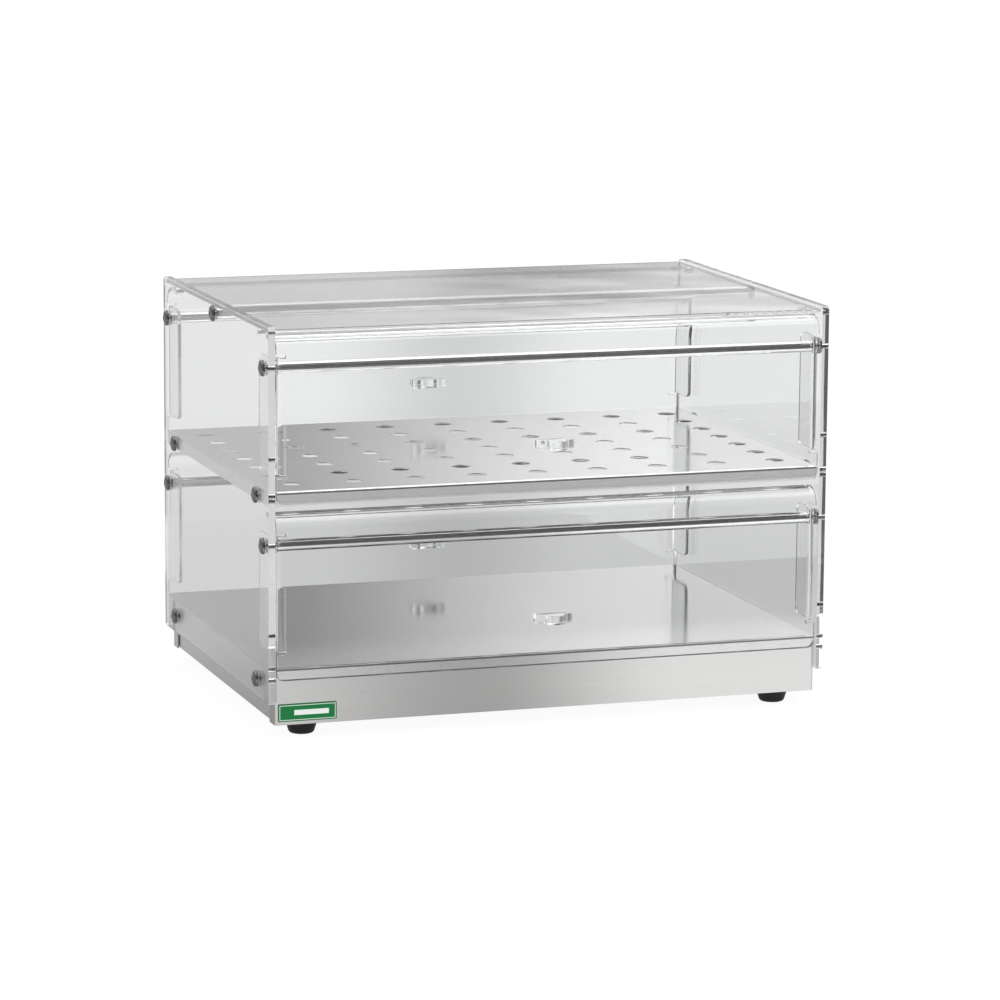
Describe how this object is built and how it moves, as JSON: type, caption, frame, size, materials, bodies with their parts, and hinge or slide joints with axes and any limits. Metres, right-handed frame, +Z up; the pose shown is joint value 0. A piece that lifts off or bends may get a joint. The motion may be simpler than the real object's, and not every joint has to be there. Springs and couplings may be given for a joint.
{
  "type": "hot food display case",
  "caption": "Countertop two-level clear food display case with a heated steel base, a perforated steel shelf and lift-up flap doors on the front and rear.",
  "frame": {"origin": "on the table under the middle of the case", "axes": "+X to the customer's right along the width, -Y out of the front with the green label, +Z up"},
  "size_m": [0.5076, 0.384, 0.35],
  "materials": {
    "clear_acrylic": "clear polished acrylic sheet",
    "satin_steel": "satin stainless steel sheet",
    "bright_steel": "bright stainless steel",
    "black_rubber": "matt moulded rubber",
    "plain_steel": "zinc-plated steel",
    "green_label": "plain green printed film",
    "heater_sheath": "heat-darkened steel sheath",
    "black_plastic": "moulded black plastic",
    "amber_lens": "amber lens"
  },
  "bodies": {
    "case": {"left_side_panel": "clear_acrylic", "right_side_panel": "clear_acrylic", "top_panel": "clear_acrylic", "base_cover": "satin_steel", "base_chassis": "satin_steel", "shelf": "satin_steel", "heater_strap_left": "satin_steel", "heater_strap_right": "satin_steel", "hinge_rod_front_upper": "bright_steel", "hinge_rod_rear_upper": "bright_steel", "hinge_rod_front_lower": "bright_steel", "hinge_rod_rear_lower": "bright_steel", "top_support_rod": "bright_steel", "screw_rod_front_upper_left": "bright_steel", "screw_rod_rear_upper_left": "bright_steel", "screw_rod_front_lower_left": "bright_steel", "screw_rod_rear_lower_left": "bright_steel", "screw_top_rod_left": "bright_steel", "screw_shelf_front_left": "bright_steel", "screw_shelf_rear_left": "bright_steel", "screw_base_front_left": "bright_steel", "screw_base_rear_left": "bright_steel", "screw_rod_front_upper_right": "bright_steel", "screw_rod_rear_upper_right": "bright_steel", "screw_rod_front_lower_right": "bright_steel", "screw_rod_rear_lower_right": "bright_steel", "screw_top_rod_right": "bright_steel", "screw_shelf_front_right": "bright_steel", "screw_shelf_rear_right": "bright_steel", "screw_base_front_right": "bright_steel", "screw_base_rear_right": "bright_steel", "top_peg_front_left": "bright_steel", "top_peg_front_right": "bright_steel", "top_peg_rear_left": "bright_steel", "top_peg_rear_right": "bright_steel", "foot_front_left": "black_rubber", "foot_front_right": "black_rubber", "foot_rear_left": "black_rubber", "foot_rear_right": "black_rubber", "foot_screw_front_left": "plain_steel", "foot_screw_front_right": "plain_steel", "foot_screw_rear_left": "plain_steel", "foot_screw_rear_right": "plain_steel", "label_plate": "green_label", "heating_element": "heater_sheath", "thermostat_body": "black_plastic", "switch_housing": "black_plastic", "power_inlet": "black_plastic", "pilot_lamp": "amber_lens"},
    "front_upper_flap": {"front_upper_door": "clear_acrylic", "front_upper_door_knob": "clear_acrylic"},
    "rear_upper_flap": {"rear_upper_door": "clear_acrylic", "rear_upper_door_knob": "clear_acrylic"},
    "front_lower_flap": {"front_lower_door": "clear_acrylic", "front_lower_door_knob": "clear_acrylic"},
    "rear_lower_flap": {"rear_lower_door": "clear_acrylic", "rear_lower_door_knob": "clear_acrylic"},
    "thermostat_dial": {"thermostat_knob": "black_plastic"},
    "rocker": {"switch_rocker": "black_plastic"}
  },
  "joints": [
    {"name": "front_upper_door_hinge", "type": "hinge", "parent": "case", "child": "front_upper_flap", "pos_m": [0, -0.16, 0.314], "axis": [-1, 0, 0], "range_deg": [0, 120]},
    {"name": "rear_upper_door_hinge", "type": "hinge", "parent": "case", "child": "rear_upper_flap", "pos_m": [0, 0.16, 0.314], "axis": [1, 0, 0], "range_deg": [0, 120]},
    {"name": "front_lower_door_hinge", "type": "hinge", "parent": "case", "child": "front_lower_flap", "pos_m": [0, -0.16, 0.164], "axis": [-1, 0, 0], "range_deg": [0, 120]},
    {"name": "rear_lower_door_hinge", "type": "hinge", "parent": "case", "child": "rear_lower_flap", "pos_m": [0, 0.16, 0.164], "axis": [1, 0, 0], "range_deg": [0, 120]},
    {"name": "thermostat_turn", "type": "hinge", "parent": "case", "child": "thermostat_dial", "pos_m": [0.15, 0.1707, 0.03125], "axis": [0, 1, 0], "range_deg": [0, 270]},
    {"name": "switch_rock", "type": "hinge", "parent": "case", "child": "rocker", "pos_m": [0.095, 0.171, 0.03125], "axis": [1, 0, 0], "range_deg": [0, 20]}
  ]
}
